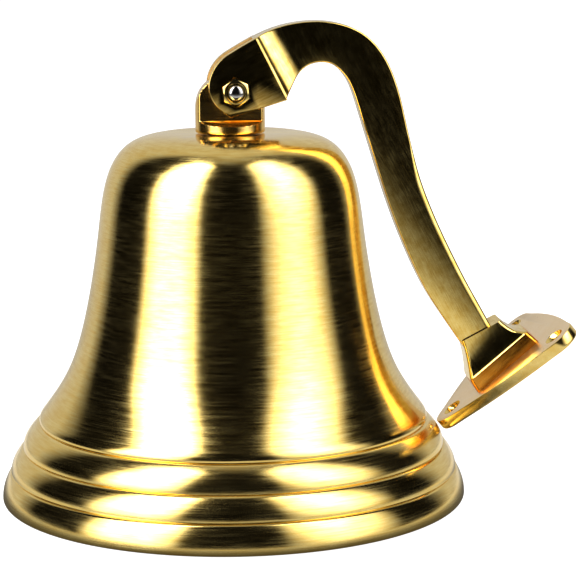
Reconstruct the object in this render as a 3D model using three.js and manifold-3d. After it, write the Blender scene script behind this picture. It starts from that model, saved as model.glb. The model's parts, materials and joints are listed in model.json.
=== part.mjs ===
// Ship bell on a swinging wall bracket. Millimetres, +Z up, the bell standing on its mouth and
// the bracket folded down against the bell's side. The bracket lies in the XZ plane.
import * as THREE from 'three';
import { mergeVertices } from 'three/addons/utils/BufferGeometryUtils.js';
import Module from 'manifold-3d';

const wasm = await Module();
wasm.setup();

// ---- Driving dimensions ----
const degree = Math.PI / 180;
const gap = 0.3; // between separate pieces that meet

const lipInnerRadius = 69.5; // the flat of the lip that the bell stands on
const lipOuterRadius = 75.4;
const crownHeight = 119.4; // top of the bell, where the lug sits
const wall = 5; // thickness of the crown
const lugSeatRadius = 14; // flat on both sides of the crown
const ringFeet = [[76.3, 0.9], [73.34, 9.33], [69.27, 17.14], [63.88, 25.56]]; // radius, height
const ringFullness = 0.85; // 1 is a cosine arc, less is squarer

const lugRadius = 11.3; // turned blank of the lug
const lugThickness = 10; // across its two flats
const lugLedge = 123.9; // height where the flats end
const lugTop = 138.5;
const studRadius = 4; // M8
const studEnd = 101;

const pivot = { x: 1.5, z: 133 };
const boltRadius = 2.5; // M5
const nutAcrossFlats = 8;
const nutHeight = 3.2;
const recessAcrossFlats = 9;
const recessDepth = 2.2;

const forkThickness = 18;
const armThickness = 10;
const forkAngle = 27.9 * degree; // slope of the fork's centre line
const forkStep = 13; // pivot to the end of the thick part
const slotRoot = 13.6; // pivot to the bottom of the slot
const rampLength = 8;

const flangeSlope = 40.5 * degree;
const flangeTurn = 9.5 * degree; // the flange sits turned on the foot
const flangeThickness = 4;
const holeSpacing = 43.3;
const lobeRadius = 6.8;
const screwHoleRadius = 2.4;
const countersinkRadius = 3.2;
const firstHole = { x: 73.1, z: 26.5 }; // on the face that the screw heads sit in

const washerRadius = 9;
const washerThickness = 1.6;
const crownNutAcrossFlats = 13;
const crownNutHeight = 6.5;
const hangerAcrossFlats = 11;
const hangerBodyHeight = 7;
const wireRadius = 1.8;
const linkWireRadius = 1.5;
const hangerLoopRadius = 4.6;
const linkRadius = 6.6;
const rodLoopRadius = 4.6;
const eyeRadius = 2.9; // of the lanyard's ring, to the middle of its wire
const eyeWireRadius = 1.3;
const eyeCollarHeight = 2.6;
const ballRadius = 13;
const ballHeight = 26; // centre above the mouth
const rodRadius = 3;

// ---- Materials ----
const brass = (color, roughness) => new THREE.MeshStandardMaterial({ color, roughness, metalness: 1 });
const satinBrass = brass(0xd9b45a, 0.32);
const polishedBrass = brass(0xe0a63c, 0.18);
const castBrass = brass(0xc9a24e, 0.38);
const steel = new THREE.MeshStandardMaterial({ color: 0xc8c9cc, roughness: 0.2, metalness: 1 });

// ---- Solids ----
function solid(geometry) {
  const bare = geometry.clone();
  bare.deleteAttribute('normal');
  bare.deleteAttribute('uv');
  const merged = mergeVertices(bare, 1e-5);
  return new wasm.Manifold(new wasm.Mesh({
    numProp: 3,
    vertProperties: new Float32Array(merged.attributes.position.array),
    triVerts: new Uint32Array(merged.index.array),
  }));
}

function geometryOf(manifold) {
  const mesh = manifold.getMesh();
  const geometry = new THREE.BufferGeometry();
  geometry.setAttribute('position', new THREE.BufferAttribute(mesh.vertProperties, 3));
  geometry.setIndex(new THREE.BufferAttribute(mesh.triVerts, 1));
  return geometry;
}

// A body of revolution about Z from a closed outline of [radius, height] points.
function turned(outline, segments) {
  const points = outline.map(([r, z]) => new THREE.Vector2(r, z));
  points.push(points[0].clone());
  return solid(new THREE.LatheGeometry(points, segments).rotateX(Math.PI / 2));
}

// A cylinder along +Z standing on height bottom; sides = 6 makes a hexagon.
function rod(radius, bottom, top, sides = 32) {
  const geometry = new THREE.CylinderGeometry(radius, radius, top - bottom, sides).rotateX(Math.PI / 2);
  return solid(geometry.translate(0, 0, (bottom + top) / 2));
}

// A cylinder along Y through the point (x, z).
function pin(radius, from, to, x, z, sides = 32, turn = 0) {
  const geometry = new THREE.CylinderGeometry(radius, radius, to - from, sides).rotateY(turn);
  return solid(geometry.translate(x, (from + to) / 2, z));
}

function box(width, depth, height, x, y, z) {
  return solid(new THREE.BoxGeometry(width, depth, height).translate(x, y, z));
}

// The hole for the pivot bolt, through everything on its axis.
function pivotHole() {
  return pin(boltRadius + gap, -forkThickness, forkThickness, pivot.x, pivot.z);
}

// A ring of round wire; plane is 'xz' or 'yz'.
function wireRing(radius, wire, plane, z) {
  const geometry = new THREE.TorusGeometry(radius, wire, 10, 28);
  if (plane === 'xz') geometry.rotateX(Math.PI / 2);
  else geometry.rotateY(Math.PI / 2);
  return solid(geometry.translate(0, 0, z));
}

// An outline in the XZ plane given depth along Y, centred on the plane.
function slab(shape, depth, curveSegments = 12) {
  const geometry = new THREE.ExtrudeGeometry(shape, { depth, bevelEnabled: false, curveSegments });
  return solid(geometry.rotateX(Math.PI / 2).translate(0, depth / 2, 0));
}

const across = (flats) => flats / 2 / Math.cos(Math.PI / 6); // corner radius of a hexagon

// ---- Bell ----
function bellShell() {
  const outline = [[lipInnerRadius, 0], [lipOuterRadius, 0]];
  const stepsPerRing = 5;
  for (let ring = 0; ring < ringFeet.length - 1; ring++) {
    const [footRadius, footHeight] = ringFeet[ring];
    const [nextRadius, nextHeight] = ringFeet[ring + 1];
    for (let step = 0; step < stepsPerRing; step++) {
      const t = step / stepsPerRing;
      const swell = Math.cos(t * Math.PI / 2) ** ringFullness;
      const height = footHeight + t * (nextHeight - footHeight);
      outline.push([nextRadius + (footRadius - nextRadius) * swell, height]);
    }
  }
  // the waist, from the top ring up to the shoulder
  outline.push(ringFeet.at(-1), [63.5, 27.6], [62.2, 29.5], [60.2, 32], [57.35, 36], [54.5, 41]);
  outline.push([51.5, 48], [49.1, 56], [47.23, 64], [45.67, 72], [44.43, 80], [43.22, 88], [41.9, 97]);
  outline.push([40.5, 104], [39, 108.6], [36.6, 112.6], [33.2, 115.9], [29.8, 117.9], [26, 118.9]);
  outline.push([20, 119.3], [lugSeatRadius, crownHeight], [studRadius + gap, crownHeight]);
  // the inside, from the stud hole down to the lip
  const innerCrown = crownHeight - wall;
  outline.push([studRadius + gap, innerCrown], [lugSeatRadius, innerCrown], [26, 113.3], [31.5, 110.2]);
  outline.push([35, 104.5], [37, 96], [39.3, 80], [42.2, 64], [46.4, 48], [49.6, 40], [53.6, 33]);
  outline.push([58, 26.5], [62, 20], [65, 12], [67, 4], [67.6, 1.2]);
  return turned(outline, 60);
}

function crownLug() {
  const blank = rod(lugRadius, crownHeight + gap, lugTop, 48);
  const stud = rod(studRadius, studEnd, crownHeight + 1, 24);
  const tall = lugTop - crownHeight;
  const rounding = pin(lugRadius, -lugRadius, lugRadius, 0, lugTop - lugRadius, 48)
    .add(box(4 * lugRadius, 4 * lugRadius, tall, 0, 0, lugTop - lugRadius - tall / 2));
  let lug = blank.intersect(rounding);
  const cut = 40; // size of the block taken off each flat
  for (const side of [-1, 1]) {
    lug = lug.subtract(box(cut, cut, cut, 0, side * (lugThickness + cut) / 2, lugLedge + cut / 2));
  }
  return lug.add(stud).subtract(pivotHole());
}

const washerTop = crownHeight - wall - gap;
const nutTop = washerTop - washerThickness - gap;
const hangerTop = nutTop - crownNutHeight - gap;
const hangerBodyBottom = hangerTop - hangerBodyHeight;

function studHole() {
  return rod(studRadius + gap, 0, crownHeight);
}

function crownWasher() {
  return rod(washerRadius, washerTop - washerThickness, washerTop).subtract(studHole());
}

function crownNut() {
  return rod(across(crownNutAcrossFlats), nutTop - crownNutHeight, nutTop, 6).subtract(studHole());
}

// ---- Clapper ----
const hangerLoopHeight = hangerBodyBottom - hangerLoopRadius + 1;
const linkPivot = hangerLoopHeight - hangerLoopRadius; // the wire that the link hangs on
const wirePitch = wireRadius + linkWireRadius + gap;
const linkHeight = linkPivot + wirePitch - linkRadius;
const rodPivot = linkHeight - linkRadius; // the wire that the clapper hangs on
const rodLoopHeight = rodPivot + wirePitch - rodLoopRadius;

function clapperHanger() {
  const body = rod(across(hangerAcrossFlats), hangerBodyBottom, hangerTop, 6);
  const threaded = rod(studRadius + gap, studEnd - gap, hangerTop + 1, 24);
  return body.add(wireRing(hangerLoopRadius, wireRadius, 'xz', hangerLoopHeight)).subtract(threaded);
}

function clapperLink() {
  return wireRing(linkRadius, linkWireRadius, 'yz', linkHeight);
}

const rodBottom = ballHeight - ballRadius - 0.5;

function clapperRod() {
  const shank = rod(rodRadius, rodBottom, rodLoopHeight - rodLoopRadius + wireRadius / 2, 24);
  return shank.add(wireRing(rodLoopRadius, wireRadius, 'xz', rodLoopHeight));
}

function clapperBall() {
  const ball = new THREE.SphereGeometry(ballRadius, 28, 16).rotateX(Math.PI / 2).translate(0, 0, ballHeight);
  return solid(ball).subtract(rod(rodRadius + gap, 0, 2 * ballHeight, 24));
}

function lanyardEye() {
  const eyeTop = rodBottom - gap;
  const collar = rod(rodRadius, eyeTop - eyeCollarHeight, eyeTop, 24);
  return collar.add(wireRing(eyeRadius, eyeWireRadius, 'xz', eyeTop - eyeCollarHeight - 3.2));
}

// ---- Bracket ----
function forkBlock() {
  const shape = new THREE.Shape();
  shape.moveTo(-0.2, 125);
  shape.lineTo(18.2, 130.4);
  shape.lineTo(8.4, 150.2);
  shape.splineThru([[4.5, 148.2], [-1.9, 144.5], [-5.8, 140.3], [-7.2, 135.2], [-4.8, 128.8], [-0.2, 125]]
    .map(([x, z]) => new THREE.Vector2(x, z)));
  return slab(shape, forkThickness, 3);
}

// The arm and the solid end of the fork, between a top edge and an under edge that faces the bell.
function armShape() {
  const points = (list) => list.map(([x, z]) => new THREE.Vector2(x, z));
  const top = [[8.4, 150.2], [14, 153], [20.6, 154.7], [28, 155.1], [37, 153.7], [46, 148.5], [52.3, 138.4],
    [56.6, 122.8], [60.8, 106.4], [66.4, 91.6], [76.7, 69.8], [88.4, 47]];
  const under = [[77.6, 44], [72.2, 54.2], [62.2, 69.2], [53, 90.4], [45.6, 113.3], [39.6, 132.8],
    [35.4, 139.4], [29.4, 142], [23.7, 140.2], [19.7, 134.8], [18.2, 130.4]];
  const shape = new THREE.Shape();
  shape.moveTo(...top[0]);
  shape.splineThru(points(top.slice(1)));
  shape.lineTo(...under[0]);
  shape.splineThru(points(under.slice(1)));
  shape.closePath();
  return shape;
}

// The hollow ramp on both faces, from the thick fork down to the arm, as wide as the arm.
function ramps() {
  const profile = new THREE.Shape();
  profile.moveTo(forkStep - 2, -forkThickness / 2);
  profile.lineTo(forkStep, -forkThickness / 2);
  profile.quadraticCurveTo(forkStep + 2, -armThickness / 2, forkStep + rampLength, -armThickness / 2);
  profile.lineTo(forkStep + rampLength, armThickness / 2);
  profile.quadraticCurveTo(forkStep + 2, armThickness / 2, forkStep, forkThickness / 2);
  profile.lineTo(forkStep - 2, forkThickness / 2);
  const depth = 40;
  const geometry = new THREE.ExtrudeGeometry(profile, { depth, bevelEnabled: false, curveSegments: 6 })
    .translate(0, 0, -depth / 2)
    .rotateY(-forkAngle)
    .translate(pivot.x, 0, pivot.z);
  return solid(geometry).intersect(slab(armShape(), forkThickness));
}

// Carries a solid from the flange's own frame (X along the flange, Z out of its face) to its place.
function placeOnSlope(manifold, turn = 0) {
  const matrix = new THREE.Matrix4().makeTranslation(firstHole.x, 0, firstHole.z)
    .multiply(new THREE.Matrix4().makeRotationY(-flangeSlope))
    .multiply(new THREE.Matrix4().makeRotationZ(turn));
  return manifold.transform(matrix.elements);
}

function flangeHoles() {
  const half = holeSpacing / 2;
  const height = holeSpacing * Math.cos(Math.PI / 6);
  return [[0, 0], [height, -half], [height, half]];
}

// Three round lobes joined by sides that bow outwards, most of all between the two upper holes. A
// side is an arc of 2 * bow that runs into the lobes at both ends without a corner.
function flangeShape() {
  const shape = new THREE.Shape();
  const half = holeSpacing / 2;
  const bows = [3, 9, 3].map((bow) => bow * degree);
  flangeHoles().forEach(([x, y], index) => {
    const before = bows[(index + 2) % 3];
    const bow = bows[index];
    const start = (index + 1) * 120 * degree;
    const outward = start + 120 * degree; // the way that the side after this lobe faces
    shape.absarc(x, y, lobeRadius, start + before, outward - bow, false);
    const reach = half / Math.sin(bow); // from a lobe's centre to the centre of the side's arc
    const back = reach * Math.cos(bow);
    const centreX = x - Math.sin(outward) * half - Math.cos(outward) * back;
    const centreY = y + Math.cos(outward) * half - Math.sin(outward) * back;
    shape.absarc(centreX, centreY, reach + lobeRadius, outward - bow, outward + bow, false);
  });
  return shape;
}

function flangePlate() {
  const rounding = 1;
  const geometry = new THREE.ExtrudeGeometry(flangeShape(), {
    depth: flangeThickness - rounding, bevelThickness: rounding, bevelSize: rounding, bevelOffset: -rounding,
    bevelSegments: 2, curveSegments: 8,
  });
  let plate = solid(geometry.translate(0, 0, rounding - flangeThickness));
  const above = 4 * holeSpacing; // a block that takes off all that stands above the face
  plate = plate.subtract(box(above, above, flangeThickness, 0, 0, flangeThickness / 2));
  const sinkHeight = 2.6; // the countersink's cone, half of it above the face
  const sinkMouth = 2 * countersinkRadius - screwHoleRadius;
  for (const [x, y] of flangeHoles()) {
    plate = plate.subtract(rod(screwHoleRadius, -2 * flangeThickness, 1, 24).translate(x, y, 0));
    const sink = new THREE.CylinderGeometry(sinkMouth, screwHoleRadius, sinkHeight, 24).rotateX(Math.PI / 2);
    plate = plate.subtract(solid(sink.translate(x, y, 0)));
  }
  return plate;
}

// The foot flares from the end of the arm out onto the flange, in line with the arm.
function foot() {
  const sections = [
    { height: -1, from: 8.2, to: 37.8, half: 12.6 },
    { height: 0.2, from: 8.7, to: 37, half: 11.6 },
    { height: 1, from: 9.4, to: 35.8, half: 9.8 },
    { height: 2.8, from: 10, to: 34.5, half: 8.7 },
    { height: 9, from: 13.4, to: 31.6, half: 7 },
    { height: 13, from: 15.4, to: 31.1, half: 6.4 },
    { height: 16.4, from: 16.9, to: 31, half: 6.1 },
  ];
  const positions = [];
  for (const { height, from, to, half } of sections) {
    const near = half * 0.12; // corners cut off at the low end
    const far = half * 0.45; // and at the high end
    for (const [x, y] of [[from + near, -half], [to - far, -half], [to, far - half], [to, half - far],
      [to - far, half], [from + near, half], [from, half - near], [from, near - half]]) {
      positions.push(x, y, height);
    }
  }
  const sides = 8;
  const indices = [];
  for (let level = 0; level < sections.length - 1; level++) {
    for (let side = 0; side < sides; side++) {
      const a = level * sides + side;
      const b = level * sides + (side + 1) % sides;
      indices.push(a, b, b + sides, a, b + sides, a + sides);
    }
  }
  const top = (sections.length - 1) * sides;
  for (let side = 1; side < sides - 1; side++) {
    indices.push(0, side + 1, side, top, top + side, top + side + 1);
  }
  const geometry = new THREE.BufferGeometry();
  geometry.setAttribute('position', new THREE.Float32BufferAttribute(positions, 3));
  geometry.setIndex(indices);
  // The top is cut square to the arm, so it slopes towards the high end of the flange.
  const ledgeTilt = 12.8 * degree;
  const { height: ledgeHeight, from: ledgeStart } = sections.at(-1);
  const ledge = solid(new THREE.BoxGeometry(60, 60, 20).translate(0, 0, 10).rotateY(ledgeTilt)
    .translate(ledgeStart, 0, ledgeHeight));
  return solid(geometry).subtract(ledge);
}

function wallBracket() {
  const slotLength = 40; // past the open end
  const slot = solid(new THREE.BoxGeometry(slotLength, lugThickness + 2 * gap, 60)
    .translate(slotRoot - slotLength / 2, 0, 0).rotateY(-forkAngle).translate(pivot.x, 0, pivot.z));
  let bracket = slab(armShape(), armThickness).add(ramps()).subtract(slot);
  bracket = bracket.add(forkBlock().subtract(slot));
  bracket = bracket.add(placeOnSlope(foot())).add(placeOnSlope(flangePlate(), flangeTurn));
  const middle = forkThickness / 2 - recessDepth; // half of what is left between the two recesses
  const recesses = pin(across(recessAcrossFlats), -forkThickness, forkThickness, pivot.x, pivot.z, 6)
    .subtract(pin(recessAcrossFlats, -middle, middle, pivot.x, pivot.z));
  return bracket.subtract(recesses).subtract(pivotHole());
}

// ---- Pivot ----
const nutFace = -forkThickness / 2 + recessDepth - gap;

function pivotNut() {
  return pin(across(nutAcrossFlats), nutFace - nutHeight, nutFace, pivot.x, pivot.z, 6)
    .subtract(pivotHole());
}

function pivotBolt() {
  const headFace = -nutFace;
  const head = pin(across(nutAcrossFlats), headFace, headFace + nutHeight, pivot.x, pivot.z, 6);
  const end = nutFace - nutHeight;
  const dome = new THREE.SphereGeometry(boltRadius, 24, 12).scale(1, 0.5, 1).translate(pivot.x, end, pivot.z);
  return head.add(pin(boltRadius, end, headFace + 1, pivot.x, pivot.z, 24)).add(solid(dome));
}

// ---- Assembly ----
const assembly = new THREE.Group();

function add(name, manifold, material) {
  const mesh = new THREE.Mesh(geometryOf(manifold), material);
  mesh.name = name;
  assembly.add(mesh);
}

add('bell_shell', bellShell(), satinBrass);
add('crown_lug', crownLug(), polishedBrass);
add('crown_washer', crownWasher(), steel);
add('crown_nut', crownNut(), steel);
add('clapper_hanger', clapperHanger(), castBrass);
add('clapper_link', clapperLink(), polishedBrass);
add('clapper_rod', clapperRod(), castBrass);
add('clapper_ball', clapperBall(), polishedBrass);
add('lanyard_eye', lanyardEye(), castBrass);
add('wall_bracket', wallBracket(), castBrass);
add('pivot_bolt', pivotBolt(), steel);
add('pivot_nut', pivotNut(), polishedBrass);

// The origin is the middle of the whole object's footprint, on the plane that the mouth stands on.
const bounds = new THREE.Box3().setFromObject(assembly);
assembly.position.set(-(bounds.min.x + bounds.max.x) / 2, -(bounds.min.y + bounds.max.y) / 2, 0);

export default assembly;
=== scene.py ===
"""Ship bell on a swinging wall bracket: the visual model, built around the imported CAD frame.

The frame is in metres, +Z up. Shapes are drawn in millimetres from the bell's axis, with height
zero at the mouth, and finish_piece() brings each one into the frame.
"""
import json
import math

import bmesh
import bpy
import numpy as np
from mathutils import Matrix, Vector


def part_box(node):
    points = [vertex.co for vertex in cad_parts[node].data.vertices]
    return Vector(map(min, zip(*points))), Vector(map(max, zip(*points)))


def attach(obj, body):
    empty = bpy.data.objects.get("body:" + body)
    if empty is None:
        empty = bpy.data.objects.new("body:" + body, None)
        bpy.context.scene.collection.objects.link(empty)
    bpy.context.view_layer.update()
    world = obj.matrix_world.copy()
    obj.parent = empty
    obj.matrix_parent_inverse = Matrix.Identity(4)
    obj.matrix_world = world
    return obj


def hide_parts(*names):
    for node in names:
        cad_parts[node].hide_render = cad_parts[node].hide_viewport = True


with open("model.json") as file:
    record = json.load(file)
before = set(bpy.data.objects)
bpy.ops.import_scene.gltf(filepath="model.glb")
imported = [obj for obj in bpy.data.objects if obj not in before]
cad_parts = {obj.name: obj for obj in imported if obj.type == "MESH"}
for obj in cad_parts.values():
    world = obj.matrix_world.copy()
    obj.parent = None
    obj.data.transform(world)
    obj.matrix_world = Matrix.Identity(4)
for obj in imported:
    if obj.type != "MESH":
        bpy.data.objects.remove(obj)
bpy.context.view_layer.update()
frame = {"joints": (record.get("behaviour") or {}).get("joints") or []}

MM = 0.001

# ---- Places taken from the frame ----
JOINTS = {joint["name"]: joint for joint in frame["joints"]}
BELL_LOW, BELL_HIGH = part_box("bell_shell")
AXIS = Vector(((BELL_LOW.x + BELL_HIGH.x) / 2, (BELL_LOW.y + BELL_HIGH.y) / 2, BELL_LOW.z))


def from_frame(point):
    """A point of the frame in metres as millimetres from the bell's axis."""
    return (Vector(point) - AXIS) / MM


def span(node, side=2):
    """Lowest and highest place of a CAD node along X, Y or Z, in millimetres from the bell's axis."""
    low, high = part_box(node)
    return from_frame(low)[side], from_frame(high)[side]


# ---- Driving dimensions, millimetres ----
GAP = 0.3  # between separate pieces that meet
OVERSHOOT = 20.0  # how far a cutting tool runs past what it cuts

CROWN_HEIGHT = span("bell_shell")[1]
CROWN_WALL = 5.0
MOUTH_RADIUS = span("bell_shell", 0)[1]
LIP_RADIUS = 69.5  # inner edge of the flat that the bell stands on
LIP_ROUND = 1.2
RIM_ROUND = 0.9
RING_FEET = [(MOUTH_RADIUS, RIM_ROUND), (73.34, 9.33), (69.27, 17.14), (63.88, 25.56)]  # radius, height
RING_FULLNESS = 0.85  # 1 is a cosine arc, less is squarer
RING_GROOVE = 0.32  # left by the cutter's point under each ring

LUG_RADIUS = 11.3
LUG_LEDGE = 123.9  # height where the flats of its tongue end
LUG_HALF = 5.0
LUG_TOP = span("crown_lug")[1]
STUD_RADIUS = 4.0
STUD_HOLE = STUD_RADIUS + GAP
STUD_END = span("crown_lug")[0]
WASHER_RADIUS = span("crown_washer", 0)[1]
CROWN_NUT_FLATS = 13.0

HANGER_FLATS = 11.0
WIRE = 1.8  # radius of the wire in the hanger's and the rod's rings
LOOP_RADIUS = 4.6  # of those rings, to the middle of their wire

PIVOT = from_frame(JOINTS["bracket_pivot"]["pos_m"])
PIVOT_RADIUS = 2.8  # hole for the bolt
BOLT_RADIUS = 2.5
NUT_FLATS = 8.0
NUT_HEIGHT = 3.2
RECESS_FLATS = 9.0
RECESS_DEPTH = 2.2
NUT_TURN = math.pi / 2 + math.radians(6)  # of the nut, the bolt's head and their recesses

FORK_HALF = 9.0
FORK_ANGLE = math.radians(27.9)
FORK_STEP = 13.2  # pivot to the end of the thick part
RAMP_LENGTH = 9.5
SLOT_HALF = LUG_HALF + GAP
SLOT_ROOT = 13.0  # pivot to the bottom of the slot
ARM_HALF = 5.0

FLANGE_SLOPE = math.radians(40.5)
FLANGE_TURN = math.radians(9.5)
FLANGE_THICKNESS = 4.0
FLANGE_BOW = 9  # degrees, half the arc of each side
HOLE_SPACING = 43.3
LOBE_RADIUS = 6.8
SCREW_HOLE_RADIUS = 2.4
COUNTERSINK_RADIUS = 3.2
FIRST_HOLE = Vector((73.1, 0, 26.5))  # the flange's lowest screw hole, at its face

CREASE = 4.8  # height of the foot's crease above the flange
FOOT_CORNER = 1.3
FOOT_SIDE = FIRST_HOLE.x - 15  # the foot and the flange lie beyond this place along X

ALONG_Y = Matrix.Rotation(math.radians(90), 4, "X")  # carries +Z to -Y
AT_PIVOT = Matrix.Translation(PIVOT) @ ALONG_Y
FORK_FRAME = Matrix.Translation(PIVOT) @ Matrix.Rotation(-FORK_ANGLE, 4, "Y")
FOOT_FRAME = Matrix.Translation(FIRST_HOLE) @ Matrix.Rotation(-FLANGE_SLOPE, 4, "Y")
FLANGE_FRAME = FOOT_FRAME @ Matrix.Rotation(FLANGE_TURN, 4, "Z")


# ---- Curves ----
def spline(points, steps):
    """Points along the natural cubic spline through points, steps of them for each span."""
    knots = np.array(points, float)
    chord = np.linalg.norm(np.diff(knots, axis=0), axis=1)
    size = len(knots)
    matrix = np.eye(size)
    right = np.zeros_like(knots)
    for i in range(1, size - 1):
        matrix[i, i - 1:i + 2] = chord[i - 1], 2 * (chord[i - 1] + chord[i]), chord[i]
        right[i] = 6 * ((knots[i + 1] - knots[i]) / chord[i] - (knots[i] - knots[i - 1]) / chord[i - 1])
    bend = np.linalg.solve(matrix, right)
    found = []
    for i in range(size - 1):
        for b in np.arange(steps) / steps:
            a = 1 - b
            bow = ((a ** 3 - a) * bend[i] + (b ** 3 - b) * bend[i + 1]) * chord[i] ** 2 / 6
            found.append(tuple(a * knots[i] + b * knots[i + 1] + bow))
    return found + [tuple(knots[-1])]


def arc(centre, radius, start, end, steps):
    """Points of a circular arc, angles in degrees."""
    angles = [math.radians(start + (end - start) * i / steps) for i in range(steps + 1)]
    return [(centre[0] + radius * math.cos(a), centre[1] + radius * math.sin(a)) for a in angles]


# ---- Solids ----
def skin(rings, looped=False):
    """A closed solid through rings of points. A ring of one point is a pole.

    A looped solid has no ends: its last ring meets its first.
    """
    vertices = []
    faces = []
    starts = []
    for ring in rings:
        starts.append(len(vertices))
        vertices.extend(Vector(point) for point in ring)
    pairs = [(i, i + 1) for i in range(len(rings) - 1)]
    if looped:
        pairs.append((len(rings) - 1, 0))
    for a, b in pairs:
        count = max(len(rings[a]), len(rings[b]))
        for i in range(count):
            j = (i + 1) % count
            corners = [(a, i), (a, j), (b, j), (b, i)]
            indices = [starts[ring] + place % len(rings[ring]) for ring, place in corners]
            faces.append(list(dict.fromkeys(indices)))
    if not looped:
        for end in (0, len(rings) - 1):
            if len(rings[end]) > 1:
                faces.append([starts[end] + i for i in range(len(rings[end]))])
    mesh = bpy.data.meshes.new("solid")
    mesh.from_pydata(vertices, [], faces)
    shape = bmesh.new()
    shape.from_mesh(mesh)
    bmesh.ops.recalc_face_normals(shape, faces=shape.faces)
    shape.to_mesh(mesh)
    shape.free()
    solid = bpy.data.objects.new("solid", mesh)
    bpy.context.scene.collection.objects.link(solid)
    return solid


def turned(outline, segments=96, looped=False):
    """A body of revolution about Z from (radius, height) points that end on the axis or loop."""
    rings = []
    for radius, height in outline:
        if radius == 0:
            rings.append([(0, 0, height)])
            continue
        turns = [2 * math.pi * i / segments for i in range(segments)]
        rings.append([(radius * math.cos(t), radius * math.sin(t), height) for t in turns])
    return skin(rings, looped)


def prism(outline, low, high):
    """An outline in XY carried from height low to high."""
    return skin([[(x, y, z) for x, y in outline] for z in (low, high)])


def corner_radius(flats):
    """Radius to a hexagon's corners, from the distance across its flats."""
    return flats / 2 / math.cos(math.pi / 6)


def hexagon(flats, turn=0.0):
    corner = corner_radius(flats)
    return [(corner * math.cos(turn + i * math.pi / 3), corner * math.sin(turn + i * math.pi / 3))
            for i in range(6)]


def moved(solid, matrix):
    solid.data.transform(matrix)
    return solid


def above_origin(height):
    return Matrix.Translation((0, 0, height))


def combine(solid, tool, operation):
    """Joins, cuts or trims a solid with another, which is used up."""
    change = solid.modifiers.new("combine", "BOOLEAN")
    change.operation = operation
    change.solver = "EXACT"
    change.object = tool
    evaluated = solid.evaluated_get(bpy.context.evaluated_depsgraph_get())
    mesh = bpy.data.meshes.new_from_object(evaluated)
    solid.modifiers.clear()
    solid.data = mesh
    bpy.data.objects.remove(tool)
    return solid


def cut(solid, tool):
    return combine(solid, tool, "DIFFERENCE")


def join(solid, tool):
    return combine(solid, tool, "UNION")


def wire_ring(radius, wire, height, turned_about="X"):
    """A ring of round wire that stands upright: in the XZ plane, or in YZ if turned about Y."""
    section = arc((radius, 0), wire, 0, 360, 32)[:-1]
    ring = turned(section, looped=True)
    return moved(ring, above_origin(height) @ Matrix.Rotation(math.radians(90), 4, turned_about))


def chamfered(radius, low, high, chamfer, bore=0.0):
    """Outline of a disc or rod with chamfered outer edges, for turned(); one with a bore is looped."""
    outer = [(radius - chamfer, low), (radius, low + chamfer), (radius, high - chamfer),
             (radius - chamfer, high)]
    if bore:
        lead = chamfer * 0.7
        return [(bore + lead, low), *outer, (bore + lead, high), (bore, high - lead), (bore, low + lead)]
    return [(0, low), *outer, (0, high)]


def small_round(outline):
    return turned(outline, 64)


def hex_nut(flats, low, high, bore=0.0, turn=0.0):
    """A hexagon nut or head about Z, its corners turned off at 30 degrees, its bore with a lead-in."""
    face = flats / 2 * 0.9
    corner = corner_radius(flats)
    fall = (corner - face) * 0.58
    outside = corner + 0.05
    turned_off = turned([(0, low), (face, low), (outside, low + fall), (outside, high - fall),
                         (face, high), (0, high)])
    nut = combine(turned_off, prism(hexagon(flats, turn), low - 1, high + 1), "INTERSECT")
    if bore:
        lead = 0.35
        wide = bore + lead + 1
        drill = [(0, low - 1), (wide, low - 1), (bore, low + lead), (bore, high - lead),
                 (wide, high + 1), (0, high + 1)]
        nut = cut(nut, small_round(drill))
    return nut


def pivot_hole():
    return moved(small_round(chamfered(PIVOT_RADIUS, -OVERSHOOT, OVERSHOOT, 0.1)), AT_PIVOT)


# ---- Bell ----
INNER_CROWN = CROWN_HEIGHT - CROWN_WALL
# Radius and height of points on the bell's wall, the outer ones upwards, the inner ones downwards.
ABOVE_RINGS = [(63.78, 26.6), (63.6, 27.3), (63.25, 27.85)]
OUTER_WALL = [(62.9, 28.4), (60.2, 32), (54.5, 41), (49.1, 56), (45.67, 72), (43.22, 88), (41.05, 102),
              (38.2, 110), (33.2, 115.9), (26, 118.75), (14, CROWN_HEIGHT - 0.02),
              (STUD_RADIUS + 1, CROWN_HEIGHT)]
INNER_WALL = [(14, INNER_CROWN), (26, 113.3), (31.5, 110.2), (35, 104.5), (37, 96), (39.3, 80),
              (42.2, 64), (46.4, 48), (53.6, 33), (58, 26.5), (62, 20), (65, 12), (67, 4.5)]
INNER_LIP = [INNER_WALL[-1], (67.9, 2.2), (LIP_RADIUS, LIP_ROUND)]


def bell_rings():
    """The three stepped rings, each one bulging out over the groove below the next."""
    outline = []
    steps = 22
    for foot, following in zip(RING_FEET, RING_FEET[1:]):
        for step in range(1, steps):
            t = step / steps
            swell = math.cos(t * math.pi / 2) ** RING_FULLNESS
            radius = following[0] + (foot[0] - following[0]) * swell
            outline.append((radius, foot[1] + t * (following[1] - foot[1])))
        for depth, rise in ((1, -0.3), (0.4, 0.2), (0, 1)):
            outline.append((following[0] - RING_GROOVE * depth, following[1] + RING_GROOVE * rise))
    return outline


def bell_shell():
    outline = arc((LIP_RADIUS + LIP_ROUND, LIP_ROUND), LIP_ROUND, 180, 270, 6)
    outline += arc((MOUTH_RADIUS - RIM_ROUND, RIM_ROUND), RIM_ROUND, 270, 360, 8)
    outline += bell_rings() + ABOVE_RINGS + spline(OUTER_WALL, 12)
    outline += [(STUD_HOLE, CROWN_HEIGHT), (STUD_HOLE, INNER_CROWN)]
    outline += spline(INNER_WALL, 6) + spline(INNER_LIP, 4)[1:-1]
    return turned(outline, 288, looped=True)


def soft_least(values, blend):
    """The least of some lengths, rounded over where two of them are close."""
    least = min(values)
    return least - blend * math.log(sum(math.exp(-(value - least) / blend) for value in values))


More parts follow.
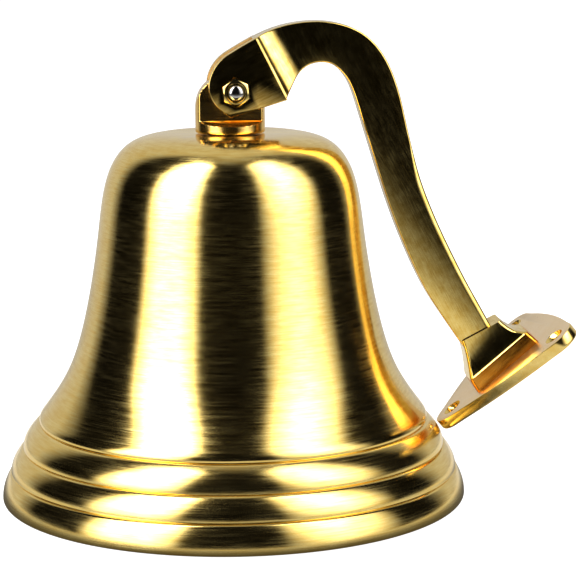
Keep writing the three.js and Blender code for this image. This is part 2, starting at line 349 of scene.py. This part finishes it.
def crown_lug():
    """A turned collar that rises into a flat-sided tongue with a round top."""
    top_centre = LUG_TOP - LUG_RADIUS
    base = CROWN_HEIGHT + GAP
    fillet = 1.6  # hollow between the collar's top and the flats
    edge = 0.5  # rounding at the foot of the collar
    blend = 0.09  # rounding between the flats and the turned edge
    no_flat = 40.0

    def half_thickness(height):
        if height < LUG_LEDGE - fillet:
            return no_flat
        if height < LUG_LEDGE:
            rise = (height - (LUG_LEDGE - fillet)) / fillet
            return LUG_HALF + (LUG_RADIUS - LUG_HALF) * (1 - rise) ** 2.2
        return LUG_HALF

    def half_width(height):
        if height <= top_centre:
            return LUG_RADIUS + 0.05
        return math.sqrt(max(LUG_RADIUS ** 2 - (height - top_centre) ** 2, 0))

    heights = [base, base + 0.12, base + edge]
    heights += list(np.arange(base + 1, LUG_LEDGE - fillet, 0.5))
    heights += list(np.linspace(LUG_LEDGE - fillet, LUG_LEDGE + 0.3, 16))
    heights += list(np.linspace(LUG_LEDGE + 0.8, top_centre, 7))
    heights += [top_centre + LUG_RADIUS * math.sin(math.radians(3 * i)) for i in range(1, 30)]
    segments = 240
    rings = []
    for height in heights:
        lead = edge * (1 - math.sqrt(max(0, 1 - (1 - min((height - base) / edge, 1)) ** 2)))
        ring = []
        for i in range(segments):
            turn = 2 * math.pi * i / segments
            reach = [LUG_RADIUS - lead, half_thickness(height) / max(abs(math.sin(turn)), 1e-6),
                     half_width(height) / max(abs(math.cos(turn)), 1e-6)]
            radius = soft_least(reach, blend)
            ring.append((radius * math.cos(turn), radius * math.sin(turn), height))
        rings.append(ring)
    rings.append([(0, 0, LUG_TOP)])
    stud = small_round(chamfered(STUD_RADIUS, STUD_END, base + 1, 0.5))
    return cut(join(skin(rings), stud), pivot_hole())


def crown_washer():
    return turned(chamfered(WASHER_RADIUS, *span("crown_washer"), 0.25, STUD_HOLE), looped=True)


def crown_nut():
    return hex_nut(CROWN_NUT_FLATS, *span("crown_nut"), STUD_HOLE)


# ---- Clapper ----
def clapper_hanger():
    """A hexagon body screwed on the stud, with a ring below it."""
    low, high = span("clapper_hanger")
    body = hex_nut(HANGER_FLATS, low + 2 * LOOP_RADIUS + WIRE - 1, high)
    body = join(body, wire_ring(LOOP_RADIUS, WIRE, low + WIRE + LOOP_RADIUS))
    return cut(body, small_round(chamfered(STUD_HOLE, STUD_END - GAP, high + 2, 0.2)))


def clapper_link():
    low, high = span("clapper_link")
    wire = span("clapper_link", 0)[1]
    return wire_ring((high - low) / 2 - wire, wire, (low + high) / 2, turned_about="Y")


def clapper_rod():
    """A round shank that necks down into its ring."""
    low, high = span("clapper_rod")
    radius = span("clapper_rod", 1)[1]
    loop_height = high - WIRE - LOOP_RADIUS
    neck = loop_height - LOOP_RADIUS
    shank = small_round([(0, low), (radius - 0.4, low), (radius, low + 0.4), (radius, neck - 7),
                         (radius - 0.3, neck - 4), (radius - 1.0, neck - 1.2),
                         (WIRE * 0.9, neck + WIRE / 2), (0, neck + WIRE / 2)])
    return join(shank, wire_ring(LOOP_RADIUS, WIRE, loop_height))


def clapper_ball():
    """A ball bored for the rod, with chamfers where the bore comes out."""
    low, high = span("clapper_ball")
    radius = span("clapper_ball", 0)[1]
    bore = span("clapper_rod", 1)[1] + GAP
    end = math.degrees(math.acos((bore + 0.5) / radius))
    outline = arc((0, (low + high) / 2), radius, -end, end, 48)
    bottom, top = outline[0][1], outline[-1][1]
    outline += [(bore, top - 0.3), (bore, bottom + 0.3)]
    return turned(outline, looped=True)


def lanyard_eye():
    """A small ring under a turned collar."""
    low, high = span("lanyard_eye")
    wire = 1.3
    ring_radius = 2.9
    collar = small_round([(0, high - 2.6), (1.4, high - 2.6), (2.3, high - 2.2), (3, high - 1.4),
                          (3, high - 0.4), (2.6, high), (0, high)])
    return join(collar, wire_ring(ring_radius, wire, low + wire + ring_radius))


# ---- Bracket ----
def inset(outline, amount):
    """A closed outline moved inwards; its points run anticlockwise."""
    sharpest = 0.35  # keeps the point of a narrow corner from running off
    moved_points = []
    for i, point in enumerate(outline):
        before = Vector(outline[i - 1])
        here = Vector(point)
        after = Vector(outline[(i + 1) % len(outline)])
        normals = [Vector((-(b - a).y, (b - a).x)).normalized() for a, b in ((before, here), (here, after))]
        both = normals[0] + normals[1]
        moved_points.append(tuple(here + both * (amount / max(normals[0].dot(both), sharpest))))
    return moved_points


def fork_block():
    """The thick end of the bracket, a pointed and rounded block with flat cheeks."""
    nose = spline([(8.1, 150.25), (4.5, 148.3), (0.9, 146.2), (-2.2, 144.2), (-4.6, 141.8),
                   (-6.3, 138.9), (-7.15, 135.4), (-6.6, 131.9), (-4.8, 128.8), (-2.6, 126.7),
                   (-0.2, 125.0)], 8)
    outline = nose + [(9.0, 127.75), (18.0, 130.5)]
    bevel = 0.35
    half_bevel = [(FORK_HALF - bevel, 0), (FORK_HALF - bevel * 0.3, bevel * 0.3), (FORK_HALF, bevel)]
    near = [(-depth, amount) for depth, amount in reversed(half_bevel)]
    rings = []
    for depth, amount in near + half_bevel:
        rings.append([(x, depth, z) for x, z in inset(outline, amount)])
    return skin(rings)


# Pairs of points on the outer and the under edge of the arm, from inside the fork to inside the foot.
ARM_OUTER = [(7.6, 149.9), (11.9, 152.1), (16.7, 153.75), (22.6, 154.85), (29.5, 155.1),
             (37.0, 153.8), (43.4, 150.7), (48.6, 145.3), (52.3, 138.4), (54.9, 130.4), (56.9, 121.6),
             (58.7, 114.0), (61.2, 104.8), (64.4, 96.0), (68.0, 87.6), (72.6, 78.0), (77.2, 69.0),
             (82.2, 60.0), (88.4, 48.5)]
ARM_UNDER = [(17.6, 130.7), (19.6, 134.5), (22.6, 139.3), (25.9, 141.5), (29.4, 142.1),
             (32.7, 141.4), (35.6, 139.2), (38.0, 136.0), (39.7, 132.2), (41.4, 127.0), (43.4, 120.4),
             (45.6, 113.3), (48.3, 104.5), (51.2, 95.6), (54.6, 86.4), (58.9, 76.2), (63.8, 66.4),
             (69.4, 57.6), (76.6, 47.0)]
ARM_EDGE = 0.5  # radius of the arm's edges
WIDE_EDGE = (2.0, 1.0)  # near the foot the outer edge is rounded more: over the face, down the side
WIDE_FROM, WIDE_OVER = 0.6, 0.08  # where that starts and how soon it is full, shares of the arm


def ramp_half(reach):
    """Half thickness at a distance past the pivot: the fork's lip, a steep face, a ramp, the arm."""
    past = reach - FORK_STEP
    lip, steep = 0.7, 1.9
    top, lip_end, foot_end = FORK_HALF - 0.35, FORK_HALF - 0.6, FORK_HALF - 1.75
    if past <= lip:
        return top - (top - lip_end) * max(past, 0) / lip
    if past <= steep:
        return lip_end - (lip_end - foot_end) * (past - lip) / (steep - lip)
    slide = min((past - steep) / (RAMP_LENGTH - steep), 1)
    return ARM_HALF + (foot_end - ARM_HALF) * (1 - slide) ** 2.2


def arm():
    """The curved arm, a rounded oblong section carried along its two edges."""
    outer = spline(ARM_OUTER, 12)
    under = spline(ARM_UNDER, 12)
    in_fork = FORK_FRAME.inverted()
    rings = []
    for step, (top, low) in enumerate(zip(outer, under)):
        progress = step / (len(outer) - 1)
        across = Vector((top[0] - low[0], 0, top[1] - low[1]))
        width = across.length
        across.normalize()
        reach = (in_fork @ Vector((low[0], 0, low[1]))).x
        far = (in_fork @ Vector((top[0], 0, top[1]))).x
        widened = min(max((progress - WIDE_FROM) / WIDE_OVER, 0), 1)
        ring = []
        wider = [ARM_EDGE + (most - ARM_EDGE) * widened for most in WIDE_EDGE]
        for end, side in ((0, -1), (1, -1), (1, 1), (0, 1)):
            half = ramp_half(reach if end == 0 else far)
            wide, deep = wider if end else (ARM_EDGE, ARM_EDGE)
            count = 5
            for i in range(count + 1):
                turn = math.pi / 2 * (i if (end == 1) == (side < 0) else count - i) / count
                along = wide * (1 - math.sin(turn))
                sink = deep * (1 - math.cos(turn))
                place = along if end == 0 else width - along
                point = Vector((low[0], 0, low[1])) + across * place
                ring.append((point.x, side * (half - sink), point.z))
        rings.append(ring)
    return skin(rings)


def flange_holes():
    half = HOLE_SPACING / 2
    height = HOLE_SPACING * math.cos(math.pi / 6)
    return [(0, 0), (height, -half), (height, half)]


def flange_outline(radius):
    """Three lobes joined by sides that bow outwards."""
    outline = []
    bow = math.radians(FLANGE_BOW)
    side = HOLE_SPACING / 2
    for index, (x, y) in enumerate(flange_holes()):
        start = 120 + 120 * index
        outline += arc((x, y), radius, start + FLANGE_BOW, start + 120 - FLANGE_BOW, 28)
        outward = math.radians(start + 120)
        along = Vector((-math.sin(outward), math.cos(outward)))
        middle = Vector((x, y)) + along * side
        sweep = (side - radius * math.sin(bow)) / math.sin(bow)
        centre = middle + Vector((math.cos(outward), math.sin(outward))) * (radius - sweep) * math.cos(bow)
        turn = math.degrees(outward)
        outline += arc(centre, sweep, turn - FLANGE_BOW, turn + FLANGE_BOW, 16)[1:-1]
    return outline


def flange_plate():
    """A three-lobed plate: crisp at the face, well rounded at the back edge."""
    edge = [(-0.28, 0), (-0.08, -0.08), (0, -0.28)]
    back = 1.1
    edge += arc((-back, back - FLANGE_THICKNESS), back, 0, -90, 8)
    plate = skin([[(x, y, height) for x, y in flange_outline(LOBE_RADIUS + out)] for out, height in edge])
    mouth = COUNTERSINK_RADIUS + 0.25
    for x, y in flange_holes():
        drill = small_round([(0, -10), (SCREW_HOLE_RADIUS, -10), (SCREW_HOLE_RADIUS, -1.3),
                             (COUNTERSINK_RADIUS, -0.12), (mouth, 0.05), (mouth, 10), (0, 10)])
        plate = cut(plate, moved(drill, Matrix.Translation((x, y, 0))))
    return plate


# Height over the flange, where the foot starts and ends along the flange, and its half width.
FOOT_LEVELS = [(-1.0, 9.8, 35.9, 7.8), (0.0, 9.8, 35.9, 7.8), (2.4, 10.1, 35.6, 7.7),
               (CREASE, 10.6, 35.2, 7.5), (CREASE + 0.1, 10.7, 35.0, 7.4), (5.6, 11.1, 34.1, 7.12),
               (6.6, 11.8, 33.1, 6.8), (8.0, 12.7, 32.2, 6.5), (9.8, 13.8, 31.6, 6.25),
               (11.8, 14.9, 31.2, 6.1), (14.0, 16.0, 31.0, 6.02), (17.0, 17.1, 31.0, 6.0),
               (21.0, 18.2, 31.0, 6.0)]


def rounded_oblong(start, end, half, radius):
    """An outline from start to end along X and half to each side of it, with round corners."""
    corners = [(end - radius, half - radius), (start + radius, half - radius),
               (start + radius, radius - half), (end - radius, radius - half)]
    outline = []
    for index, corner in enumerate(corners):
        outline += arc(corner, radius, 90 * index, 90 * index + 90, 7)
    return outline


def foot():
    """Flares from the end of the arm to a crease, with an upright skirt below; its top slopes."""
    block = skin([[(x, y, height) for x, y in rounded_oblong(start, end, half, FOOT_CORNER)]
                  for height, start, end, half in FOOT_LEVELS])
    above = prism([(-30, -30), (30, -30), (30, 30), (-30, 30)], 0, 20)
    slope = Matrix.Translation((17, 0, 16.4)) @ Matrix.Rotation(math.radians(12.8), 4, "Y")
    return cut(block, moved(above, slope))


def wall_bracket():
    """One casting: arm, fork, foot and flange, with the slot, the two recesses and the pivot hole."""
    bracket = join(arm(), fork_block())
    bracket = join(bracket, moved(foot(), FOOT_FRAME))
    bracket = join(bracket, moved(flange_plate(), FLANGE_FRAME))
    slot = prism([(-40, -SLOT_HALF), (SLOT_ROOT, -SLOT_HALF), (SLOT_ROOT, SLOT_HALF), (-40, SLOT_HALF)],
                 -30, 30)
    bracket = cut(bracket, moved(slot, FORK_FRAME))
    for side in (1, -1):
        ends = sorted((side * (FORK_HALF - RECESS_DEPTH), side * OVERSHOOT))
        bracket = cut(bracket, moved(prism(hexagon(RECESS_FLATS, NUT_TURN), *ends), AT_PIVOT))
    return cut(bracket, pivot_hole())


def pivot_nut():
    low, high = sorted(-value for value in span("pivot_nut", 1))
    return moved(hex_nut(NUT_FLATS, low, high, PIVOT_RADIUS, NUT_TURN), AT_PIVOT)


def pivot_bolt():
    """Hexagon head on the far side, a shank through fork and lug, and a domed end in the nut."""
    low, high = sorted(-value for value in span("pivot_bolt", 1))
    head_face = low + NUT_HEIGHT
    head = hex_nut(NUT_FLATS, low, head_face, turn=NUT_TURN)
    dome = spline([(BOLT_RADIUS, high - 1.4), (BOLT_RADIUS * 0.95, high - 0.8),
                   (BOLT_RADIUS * 0.66, high - 0.25), (0, high)], 6)
    bolt = join(head, small_round([(0, head_face - 1), (BOLT_RADIUS, head_face - 1), *dome]))
    return moved(bolt, AT_PIVOT)


# ---- Materials ----
def add_node(tree, kind, settings=None, **inputs):
    """A shader node; inputs are values or the sockets that feed them."""
    made = tree.nodes.new(kind)
    for name, value in (settings or {}).items():
        setattr(made, name, value)
    for name, value in inputs.items():
        key = int(name[2:]) if name.startswith("at") else name.replace("_", " ")
        if isinstance(value, bpy.types.NodeSocket):
            tree.links.new(value, made.inputs[key])
        else:
            made.inputs[key].default_value = value
    return made


def math_node(tree, operation, *values):
    inputs = {f"at{index}": value for index, value in enumerate(values)}
    return add_node(tree, "ShaderNodeMath", {"operation": operation}, **inputs).outputs[0]


def vector_node(tree, operation, *values, **inputs):
    inputs.update({f"at{index}": value for index, value in enumerate(values)})
    return add_node(tree, "ShaderNodeVectorMath", {"operation": operation}, **inputs).outputs


def scaled(scale, turn=0.0):
    """A pattern's coordinates: the object's, turned about Y and scaled, each axis by its own factor."""
    def build(tree, place):
        turned_by = add_node(tree, "ShaderNodeMapping", Vector=place, Rotation=(0, turn, 0))
        return add_node(tree, "ShaderNodeMapping", Vector=turned_by.outputs[0], Scale=scale).outputs[0]
    return build


def even(scale):
    return scaled((scale, scale, scale))


def round_axis(turns, rise):
    """A pattern's coordinates without a seam: turns around the Z axis, rise along it."""
    def build(tree, place):
        flat = vector_node(tree, "MULTIPLY", place, (1, 1, 0))[0]
        unit = vector_node(tree, "NORMALIZE", flat)[0]
        around = vector_node(tree, "SCALE", unit, Scale=turns)[0]
        height = vector_node(tree, "MULTIPLY", place, (0, 0, rise))[0]
        return vector_node(tree, "ADD", around, height)[0]
    return build


def noise(tree, vector, detail, scale=1.0):
    return add_node(tree, "ShaderNodeTexNoise", Vector=vector, Scale=scale, Detail=detail).outputs["Fac"]


def spread(tree, value, low, high, start=0.3, end=0.7):
    """A value from start to end mapped to low to high."""
    return add_node(tree, "ShaderNodeMapRange", Value=value, From_Min=start, From_Max=end, To_Min=low,
                    To_Max=high).outputs[0]


LINES_SHARE = 0.7  # of a metal's change of roughness; the rest follows its patches


def metal(name, tones, roughness, grain, marks, relief, anisotropy=0.0):
    """A metal whose grain gives its brushed lines, and marks its slow changes of tone and polish.

    tones are the dark and the light colour, roughness its least and most, relief the lines' depth
    in metres.
    """
    material = bpy.data.materials.new(name)
    material.use_nodes = True
    tree = material.node_tree
    shader = tree.nodes["Principled BSDF"]
    shader.inputs["Metallic"].default_value = 1.0
    place = add_node(tree, "ShaderNodeTexCoord").outputs["Object"]
    lines = noise(tree, grain(tree, place), 4.0)
    patches = noise(tree, marks(tree, place), 3.0)
    tone = add_node(tree, "ShaderNodeMix", {"data_type": "RGBA"}, at6=tones[0], at7=tones[1])
    both = math_node(tree, "ADD", lines, patches)
    tree.links.new(spread(tree, both, 0, 1, 0.75, 1.25), tone.inputs[0])
    tree.links.new(tone.outputs[2], shader.inputs["Base Color"])
    share = (roughness[1] - roughness[0]) * LINES_SHARE
    by_lines = spread(tree, lines, roughness[0], roughness[0] + share)
    by_patches = spread(tree, patches, 0, roughness[1] - roughness[0] - share)
    tree.links.new(math_node(tree, "ADD", by_lines, by_patches), shader.inputs["Roughness"])
    bump = add_node(tree, "ShaderNodeBump", Height=lines, Distance=relief, Strength=1.0)
    tree.links.new(bump.outputs[0], shader.inputs["Normal"])
    if anisotropy:
        shader.inputs["Anisotropic"].default_value = anisotropy
        shader.inputs["Anisotropic Rotation"].default_value = 0.25
        tangent = add_node(tree, "ShaderNodeTangent", {"direction_type": "RADIAL", "axis": "Z"})
        tree.links.new(tangent.outputs[0], shader.inputs["Tangent"])
    return material


BRASS_DEEP = (0.85, 0.60, 0.18, 1)
BRASS_LIGHT = (0.94, 0.74, 0.30, 1)
STEEL_DEEP = (0.50, 0.48, 0.46, 1)
STEEL_LIGHT = (0.66, 0.64, 0.61, 1)


def bell_brass():
    """Satin brass, brushed on the lathe."""
    return metal("bell_satin_brass", (BRASS_DEEP, BRASS_LIGHT), (0.10, 0.25),
                 grain=round_axis(4.0, 3400), marks=round_axis(8.0, 900), relief=5e-7, anisotropy=0.6)


def polished_brass(name="polished_brass"):
    """Brass buffed bright, with faint turning lines."""
    return metal(name, (BRASS_DEEP, BRASS_LIGHT), (0.09, 0.2),
                 grain=round_axis(1.5, 1800), marks=even(90), relief=1e-6)


def linished_brass():
    """The bracket's sides, rubbed on a belt across the arm."""
    return metal("linished_brass", ((0.76, 0.52, 0.13, 1), (0.95, 0.74, 0.28, 1)), (0.09, 0.19),
                 grain=scaled((3200, 160, 200), FORK_ANGLE), marks=scaled((500, 300, 400), FORK_ANGLE),
                 relief=5e-7)


def cheek_brass():
    """The fork's cheeks, lapped flat and bright with fine scratches along them."""
    return metal("cheek_brass", ((0.68, 0.45, 0.11, 1), (0.95, 0.72, 0.26, 1)), (0.07, 0.17),
                 grain=scaled((200, 200, 3200), FORK_ANGLE), marks=scaled((180, 180, 400), FORK_ANGLE),
                 relief=3e-7)


def slot_brass():
    """The sawn walls of the fork's slot, left rough."""
    return metal("slot_brass", ((0.88, 0.66, 0.3, 1), (0.95, 0.76, 0.4, 1)), (0.5, 0.65),
                 grain=scaled((1500, 200, 200), FORK_ANGLE), marks=even(300), relief=3e-6)


def flange_brass():
    """The flange, softly blasted on its face."""
    return metal("flange_brass", ((0.93, 0.72, 0.43, 1), (0.97, 0.80, 0.56, 1)), (0.26, 0.42),
                 grain=even(900), marks=even(110), relief=2e-6)


def rim_brass():
    """The flange's rounded edge and its back, buffed bright."""
    return metal("rim_brass", (BRASS_DEEP, BRASS_LIGHT), (0.12, 0.24),
                 grain=even(500), marks=even(140), relief=1e-6)


def skirt_painted_reflection():
    """The upright skirt of the foot, coloured deep orange: a painted reflection of the flange in it."""
    # painted reflection: these deep orange tones stand for the flange reflected in the skirt
    return metal("skirt_painted_reflection", ((0.74, 0.30, 0.03, 1), (0.86, 0.42, 0.07, 1)), (0.14, 0.26),
                 grain=scaled((200, 300, 2000), FLANGE_SLOPE), marks=even(140), relief=4e-7)


def lug_brass():
    """The lug, its flats rubbed across."""
    return metal("lug_brass", ((0.82, 0.52, 0.15, 1), (0.92, 0.66, 0.24, 1)), (0.12, 0.26),
                 grain=scaled((200, 200, 4200)), marks=scaled((150, 150, 300)), relief=2e-7)


def clapper_brass():
    """Cast brass inside the bell, left duller."""
    return metal("clapper_brass", ((0.72, 0.44, 0.13, 1), BRASS_LIGHT), (0.24, 0.42),
                 grain=even(700), marks=even(120), relief=4e-6)


def plated_steel():
    """The bolt, and the washer and nut inside the bell."""
    return metal("plated_steel", (STEEL_DEEP, STEEL_LIGHT), (0.08, 0.2),
                 grain=even(900), marks=even(300), relief=1e-6)


# ---- Pieces ----
MERGED = 0.0005  # millimetres: points and edges as small as this are one point
CLOSE = 0.02  # millimetres: a face as near as this to a place lies on it


def finish_piece(solid, node, body, slot, *materials, crease=32):
    """Names a solid, brings it into the frame, and makes it stand for a CAD node.

    Edges sharper than crease, in degrees, are shaded as edges.
    """
    mesh = solid.data
    cleaned = bmesh.new()
    cleaned.from_mesh(mesh)
    bmesh.ops.remove_doubles(cleaned, verts=cleaned.verts, dist=MERGED)
    bmesh.ops.dissolve_degenerate(cleaned, edges=cleaned.edges, dist=MERGED)
    cleaned.to_mesh(mesh)
    cleaned.free()
    mesh.transform(Matrix.Scale(MM, 4))
    mesh.shade_smooth()
    mesh.set_sharp_from_angle(angle=math.radians(crease))
    solid.name = node + ".fine"
    mesh.name = solid.name
    solid.location = AXIS
    mesh.materials.clear()
    for material in materials:
        mesh.materials.append(material)
    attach(solid, body)
    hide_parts(node)
    return solid


LINISHED, FLANGE, CHEEK, SLOT, RIM, SKIRT = range(6)  # the bracket's materials, in order


def paint_bracket(bracket):
    """Gives the flange's face and rim, the skirt, the cheeks and the slot's walls their materials."""
    to_foot = FOOT_FRAME.inverted()
    to_fork = FORK_FRAME.inverted()
    for face in bracket.data.polygons:
        place = face.center / MM
        facing = abs(face.normal.y) > 0.99
        reach = (to_fork @ place).x
        on_foot = to_foot @ place
        if abs(on_foot.z) < CLOSE and (to_foot.to_3x3() @ face.normal).z > 0.99:
            face.material_index = FLANGE
        elif on_foot.z < CLOSE and place.x > FOOT_SIDE:
            face.material_index = RIM
        # the skirt gets the brass with the flange's reflection painted into its colour
        elif on_foot.z < CREASE and place.x > FOOT_SIDE:
            face.material_index = SKIRT
        elif facing and abs(place.y) > FORK_HALF - 0.01:
            face.material_index = CHEEK
        elif facing and abs(abs(place.y) - SLOT_HALF) < 0.01 and reach < SLOT_ROOT:
            face.material_index = SLOT
        else:
            face.material_index = LINISHED


def build_object():
    """All twelve pieces, each on its own body."""
    brass = polished_brass()
    clapper = clapper_brass()
    steel = plated_steel()
    finish_piece(bell_shell(), "bell_shell", "bell", "bell_brass", bell_brass(), crease=40)
    finish_piece(crown_lug(), "crown_lug", "bell", "lug_brass", lug_brass(), crease=50)
    finish_piece(crown_washer(), "crown_washer", "bell", "plated_steel", steel)
    finish_piece(crown_nut(), "crown_nut", "bell", "plated_steel", steel)
    finish_piece(clapper_hanger(), "clapper_hanger", "bell", "clapper_brass", clapper)
    finish_piece(clapper_link(), "clapper_link", "link", "clapper_brass", clapper)
    finish_piece(clapper_rod(), "clapper_rod", "clapper", "clapper_brass", clapper)
    finish_piece(clapper_ball(), "clapper_ball", "clapper", "clapper_brass",
                 polished_brass("ball_brass"))
    finish_piece(lanyard_eye(), "lanyard_eye", "clapper", "clapper_brass", clapper)
    bracket = finish_piece(wall_bracket(), "wall_bracket", "bracket", "bracket_brass", linished_brass(),
                           flange_brass(), cheek_brass(), slot_brass(), rim_brass(), skirt_painted_reflection(),
                           crease=28)
    paint_bracket(bracket)
    finish_piece(pivot_bolt(), "pivot_bolt", "bracket", "plated_steel", steel)
    finish_piece(pivot_nut(), "pivot_nut", "bracket", "nut_brass", brass)


# ---- Stage, in metres ----
VIEW_YAW = math.radians(4.5)
VIEW_PITCH = math.radians(9.95)
VIEW_ROLL = math.radians(-0.38)
CAMERA_PLACE = AXIS + Vector((-0.0366, -0.699, 0.191))
FOCAL_SHARE = 3.764  # focal length over the width of the picture
SOFTBOX_DISTANCE = 1.0
DARK = 0.005  # what the brass reflects where nothing is lit
REAR_GLOW, REAR_FROM, REAR_FULL = 0.68, 64, 48  # degrees from straight behind the bell
OVERHEAD_GLOW, OVERHEAD_FROM, OVERHEAD_FULL = 0.5, 70, 84  # degrees above the horizon
# Distance from the bell's axis and light of the table top, rising to a bright ring round the mouth; painted
# light and shade: the dim value at the mouth is painted shade of the bell on the table.
TABLE_LIGHT_AND_SHADE = [(0.08, 0.15), (0.12, 0.85), (0.25, 0.95), (0.33, 0.5), (0.6, 0.12), (0.75, DARK)]
TABLE_REAR_GLOW = (0.1, 0.35)  # how far behind the axis it starts, and where it is full
WHITE = (1, 1, 1, 1)
BLACK = (0, 0, 0, 1)


def build_camera():
    """Looks down at the bell from a little to the left of square to the bracket's plane."""
    ahead = math.cos(VIEW_PITCH)
    forward = Vector((math.sin(VIEW_YAW) * ahead, math.cos(VIEW_YAW) * ahead, -math.sin(VIEW_PITCH)))
    level = forward.cross(Vector((0, 0, 1))).normalized()
    upright = level.cross(forward)
    right = math.cos(VIEW_ROLL) * level + math.sin(VIEW_ROLL) * upright
    up = math.cos(VIEW_ROLL) * upright - math.sin(VIEW_ROLL) * level
    camera = bpy.data.objects.new("camera", bpy.data.cameras.new("camera"))
    bpy.context.scene.collection.objects.link(camera)
    camera.data.sensor_width = 36
    camera.data.lens = FOCAL_SHARE * camera.data.sensor_width
    facing = Matrix((right, up, -forward)).transposed().to_4x4()
    camera.matrix_world = Matrix.Translation(CAMERA_PLACE) @ facing
    bpy.context.scene.camera = camera


def softbox(name, side, width, height, brightness, plateau):
    """A tall upright soft panel that faces the bell, side degrees to the right of the camera.

    It is even over plateau, a share of its width, fades out from there to both sides, and is
    dimmer near the table.
    """
    towards_camera = math.atan2(CAMERA_PLACE.y - AXIS.y, CAMERA_PLACE.x - AXIS.x)
    turn = towards_camera + math.radians(side)
    out = Vector((math.cos(turn), math.sin(turn), 0))
    lamp = bpy.data.lights.new(name, "AREA")
    lamp.shape = "RECTANGLE"
    lamp.size = width
    lamp.size_y = height
    lamp.energy = brightness * math.pi * width * height
    lamp.use_nodes = True
    tree = lamp.node_tree
    place = add_node(tree, "ShaderNodeNewGeometry").outputs["Parametric"]
    across, up = add_node(tree, "ShaderNodeSeparateXYZ", Vector=place).outputs[:2]
    from_middle = math_node(tree, "ABSOLUTE", math_node(tree, "SUBTRACT", across, 0.5))
    sides = spread(tree, from_middle, 1, 0, plateau / 2, 0.5)
    low_end = spread(tree, up, 0.35, 1, 0.0, 0.3)
    tree.links.new(math_node(tree, "MULTIPLY", sides, low_end), tree.nodes["Emission"].inputs["Strength"])
    light = bpy.data.objects.new(name, lamp)
    light.location = AXIS + out * SOFTBOX_DISTANCE + Vector((0, 0, height / 2))
    light.rotation_euler = (-out).to_track_quat("-Z", "Y").to_euler()
    bpy.context.scene.collection.objects.link(light)


def build_world():
    """What the brass reflects: light behind and overhead, dark elsewhere. The camera sees white."""
    world = bpy.data.worlds.new("studio")
    bpy.context.scene.world = world
    world.use_nodes = True
    tree = world.node_tree
    tree.nodes.clear()
    direction = add_node(tree, "ShaderNodeTexCoord").outputs["Generated"]
    level = vector_node(tree, "NORMALIZE", vector_node(tree, "MULTIPLY", direction, (1, 1, 0))[0])[0]
    behind = Vector((AXIS.x - CAMERA_PLACE.x, AXIS.y - CAMERA_PLACE.y, 0)).normalized()
    facing = vector_node(tree, "DOT_PRODUCT", level, behind)["Value"]
    rear = spread(tree, facing, DARK, REAR_GLOW, math.cos(math.radians(REAR_FROM)),
                  math.cos(math.radians(REAR_FULL)))
    height = add_node(tree, "ShaderNodeSeparateXYZ", Vector=direction).outputs["Z"]
    above = spread(tree, height, 0.0, OVERHEAD_GLOW, math.sin(math.radians(OVERHEAD_FROM)),
                   math.sin(math.radians(OVERHEAD_FULL)))
    studio = add_node(tree, "ShaderNodeBackground", Color=WHITE,
                      Strength=math_node(tree, "MAXIMUM", rear, above))
    backdrop = add_node(tree, "ShaderNodeBackground", Color=WHITE, Strength=1.0)
    seen = add_node(tree, "ShaderNodeLightPath").outputs["Is Camera Ray"]
    both = add_node(tree, "ShaderNodeMixShader", at0=seen, at1=studio.outputs[0], at2=backdrop.outputs[0])
    add_node(tree, "ShaderNodeOutputWorld", Surface=both.outputs[0])


DISC_THICKNESS = 0.0001


def disc(name, radius, drop):
    """A thin round plate a little below the mouth, part of the stage, that glows white."""
    plate = turned([(0, -DISC_THICKNESS), (radius, -DISC_THICKNESS), (radius, 0), (0, 0)], 128)
    plate.name = name
    plate.location = AXIS - Vector((0, 0, drop))
    material = bpy.data.materials.new(name)
    material.use_nodes = True
    plate.data.materials.append(material)
    shader = material.node_tree.nodes["Principled BSDF"]
    shader.inputs["Emission Color"].default_value = WHITE
    return plate, material.node_tree, shader


def build_floor():
    """The pale floor that the camera sees. The brass doesn't reflect it."""
    floor, tree, shader = disc("floor", 4.0, 0.0003)
    place = add_node(tree, "ShaderNodeTexCoord").outputs["Object"]
    tree.links.new(spread(tree, noise(tree, place, 2.0, 3.0), 0.3, 0.34), shader.inputs["Base Color"])
    shader.inputs["Roughness"].default_value = 0.8
    shader.inputs["Emission Strength"].default_value = 0.98
    floor.visible_glossy = False


def build_table_glow():
    """A glowing disc with the table top's light and painted shade on it, which the camera doesn't see and
    the brass reflects.
    """
    table, tree, shader = disc("table_glow", 0.8, 0.0006)
    shader.inputs["Base Color"].default_value = BLACK
    shader.inputs["Specular IOR Level"].default_value = 0
    place = add_node(tree, "ShaderNodeTexCoord").outputs["Object"]
    # painted light and shade by distance from the axis: dim at the mouth where the bell shades the table, a
    # bright ring, fading far off
    fading = add_node(tree, "ShaderNodeValToRGB", Fac=vector_node(tree, "LENGTH", place)["Value"])
    stops = fading.color_ramp.elements  # a new ramp has two
    for index, (distance, level) in enumerate(TABLE_LIGHT_AND_SHADE):
        stop = stops[index] if index < 2 else stops.new(distance)
        stop.position = distance
        stop.color = (level, level, level, 1)
    depth = add_node(tree, "ShaderNodeSeparateXYZ", Vector=place).outputs["Y"]
    rear = spread(tree, depth, 0.0, 0.6, *TABLE_REAR_GLOW)
    glow = math_node(tree, "MAXIMUM", fading.outputs[0], rear)
    tree.links.new(glow, shader.inputs["Emission Strength"])
    table.visible_camera = False
    table.visible_diffuse = False
    table.visible_shadow = False


build_camera()
build_object()
build_floor()
build_table_glow()
build_world()
softbox("left_softbox", -52, 1.04, 2.8, 7.5, plateau=0.36)
softbox("right_softbox", 55, 1.24, 2.8, 4.8, plateau=0.1)
bpy.context.scene.view_settings.view_transform = "Standard"
bpy.context.scene.view_settings.gamma = 0.84
